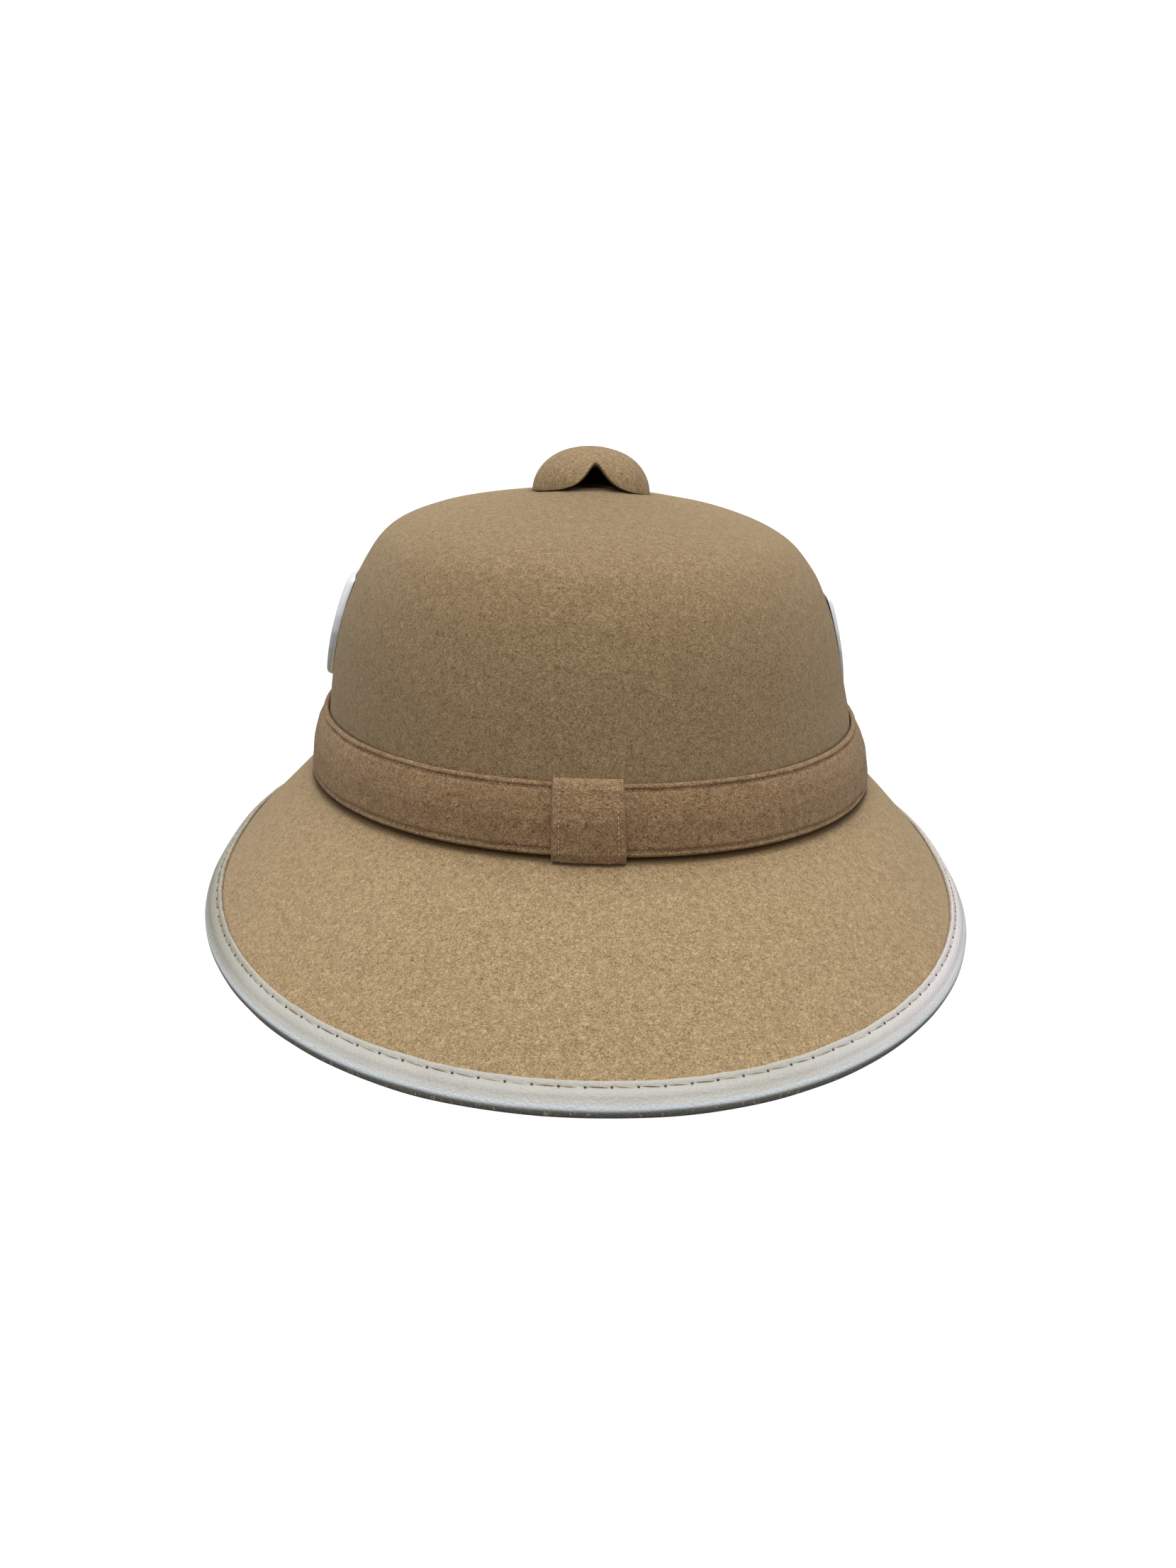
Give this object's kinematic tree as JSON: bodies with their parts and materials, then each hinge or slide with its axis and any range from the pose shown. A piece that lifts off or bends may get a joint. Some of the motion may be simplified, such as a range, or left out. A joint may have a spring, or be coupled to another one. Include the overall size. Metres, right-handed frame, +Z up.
{
  "type": "pith helmet",
  "caption": "Sun helmet of pressed felt with a domed crown, a sloping brim with a leather edge, a felt band, a hooded vent hole and plain metal side shields.",
  "frame": {"origin": "on the ground under the middle of the helmet's overall length and width, as it stands on its brim", "axes": "+Z up, the helmet's front faces -Y, +X to the wearer's left"},
  "size_m": [0.2438, 0.3252, 0.1508],
  "materials": {
    "shell_felt": "matt short napped felt, khaki brown",
    "band_felt": "matt short napped felt, redder brown, stitched along both edges",
    "binding_leather": "satin grained leather, pale grey green",
    "shield_metal": "satin pale metal"
  },
  "bodies": {
    "root": {"felt_shell": "shell_felt", "brim_binding": "binding_leather", "band": "band_felt", "band_keeper": "band_felt", "vent_hood": "shell_felt", "shield_left": "shield_metal", "shield_right": "shield_metal"}
  },
  "joints": []
}
